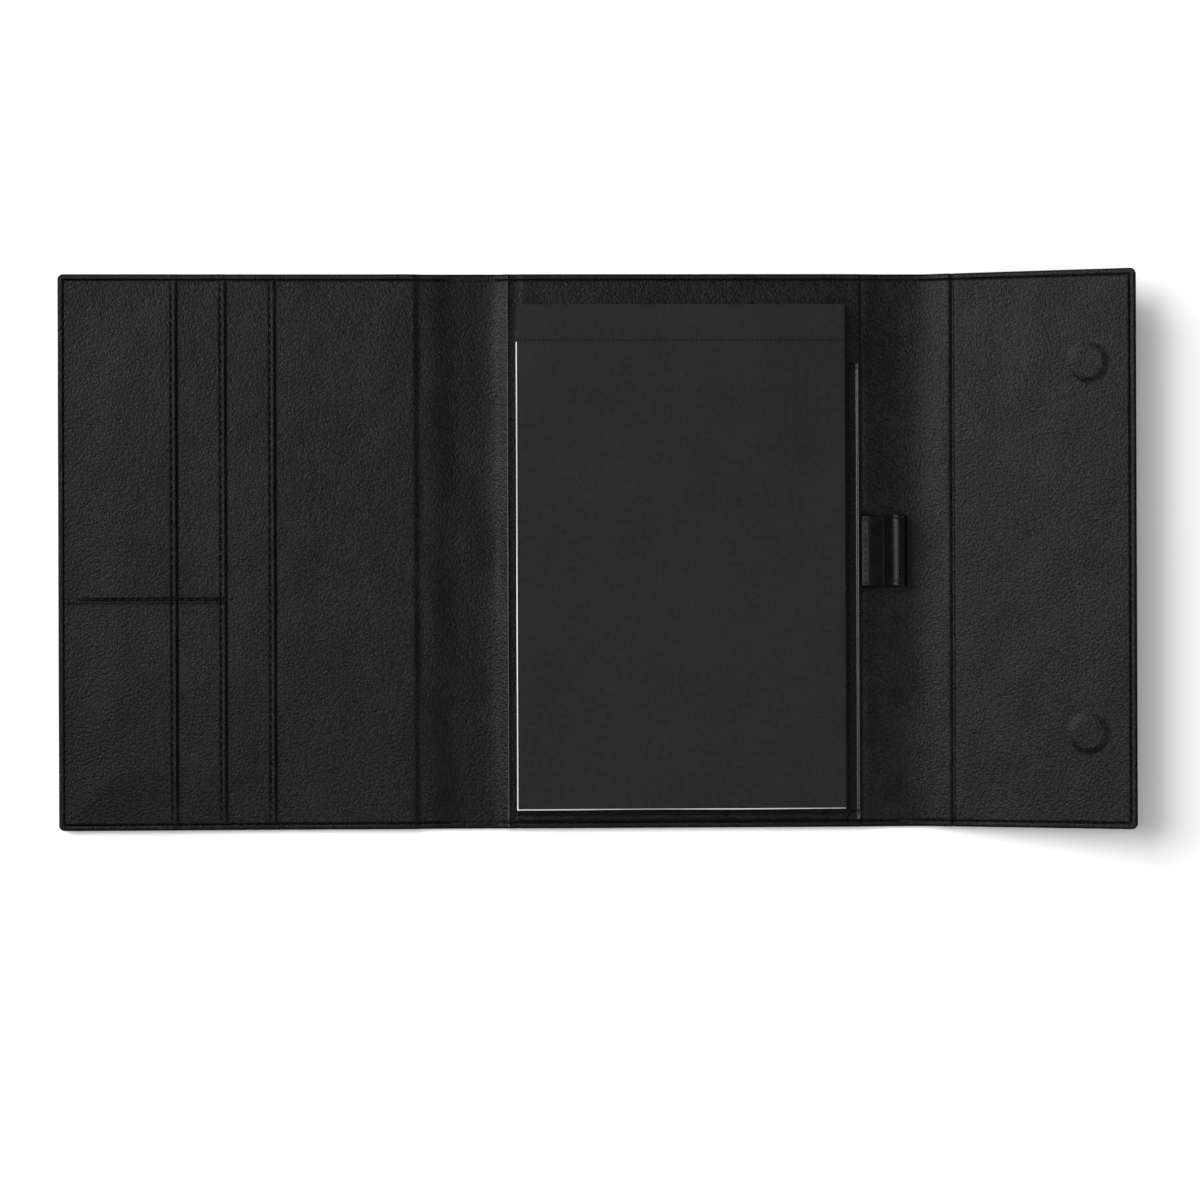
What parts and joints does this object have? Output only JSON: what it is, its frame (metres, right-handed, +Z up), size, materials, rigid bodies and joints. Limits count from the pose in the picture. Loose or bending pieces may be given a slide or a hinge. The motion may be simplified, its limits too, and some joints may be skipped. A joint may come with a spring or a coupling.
{
  "type": "padfolio",
  "caption": "Black leather padfolio, lying open: pocketed front cover, head-bound writing pad with a card cover, pen loop, and a closing flap with magnets.",
  "frame": {"origin": "middle of the open folder, on the surface that it lies on", "axes": "+X across the open folder from the front cover to the closing flap, +Y along the spines towards the head of the pad, +Z up"},
  "size_m": [0.4861, 0.252, 0.0265],
  "materials": {
    "outer_leather": "fine pebble grain, satin",
    "lining_leather": "fine pebble grain, satin",
    "pocket_leather": "fine pebble grain, satin",
    "loop_leather": "smooth, glossy",
    "cover_card": "matte, fine texture",
    "paper": "uncoated",
    "backing_board": "raw grey board",
    "stiffener_board": "raw fibre board",
    "steel": "nickel plated"
  },
  "bodies": {
    "back_panel": {"back_outer_leather": "outer_leather", "back_board": "stiffener_board", "back_lining": "lining_leather", "pad_pocket": "pocket_leather", "pad_backing_board": "backing_board", "pad_sheets": "paper", "pad_head_binding": "cover_card", "pen_loop": "loop_leather"},
    "left_spine": {"left_spine_leather": "outer_leather", "left_spine_lining": "lining_leather"},
    "front_cover": {"front_outer_leather": "outer_leather", "front_board": "stiffener_board", "front_lining": "lining_leather", "document_pocket": "pocket_leather", "rear_card_pocket": "pocket_leather", "front_card_pocket": "pocket_leather", "upper_keeper_plate": "steel", "lower_keeper_plate": "steel"},
    "right_spine": {"right_spine_leather": "outer_leather", "right_spine_lining": "lining_leather"},
    "flap": {"flap_outer_leather": "outer_leather", "flap_board": "stiffener_board", "flap_lining": "lining_leather", "upper_magnet": "steel", "lower_magnet": "steel"},
    "pad_cover": {"pad_cover": "cover_card"}
  },
  "joints": [
    {"name": "left_spine_fold", "type": "hinge", "parent": "back_panel", "child": "left_spine", "pos_m": [-0.0415, 0, 0.0009], "axis": [0, 1, 0], "range_deg": [0, 90]},
    {"name": "front_cover_fold", "type": "hinge", "parent": "left_spine", "child": "front_cover", "pos_m": [-0.0799, 0, 0.0009], "axis": [0, 1, 0], "range_deg": [0, 97]},
    {"name": "right_spine_fold", "type": "hinge", "parent": "back_panel", "child": "right_spine", "pos_m": [0.1232, 0, 0.0009], "axis": [0, -1, 0], "range_deg": [0, 70], "deforming": ["pen_loop"]},
    {"name": "flap_fold", "type": "hinge", "parent": "right_spine", "child": "flap", "pos_m": [0.1634, 0, 0.00271], "axis": [0, -1, 0], "range_deg": [-15, 98]},
    {"name": "pad_cover_flip", "type": "hinge", "parent": "back_panel", "child": "pad_cover", "pos_m": [0.03905, 0.0949, 0.01225], "axis": [-1, 0, 0], "range_deg": [0, 180]}
  ],
  "couplings": [
    {"joint": "front_cover_fold", "follows": "left_spine_fold", "ratio": 1.0777}
  ]
}
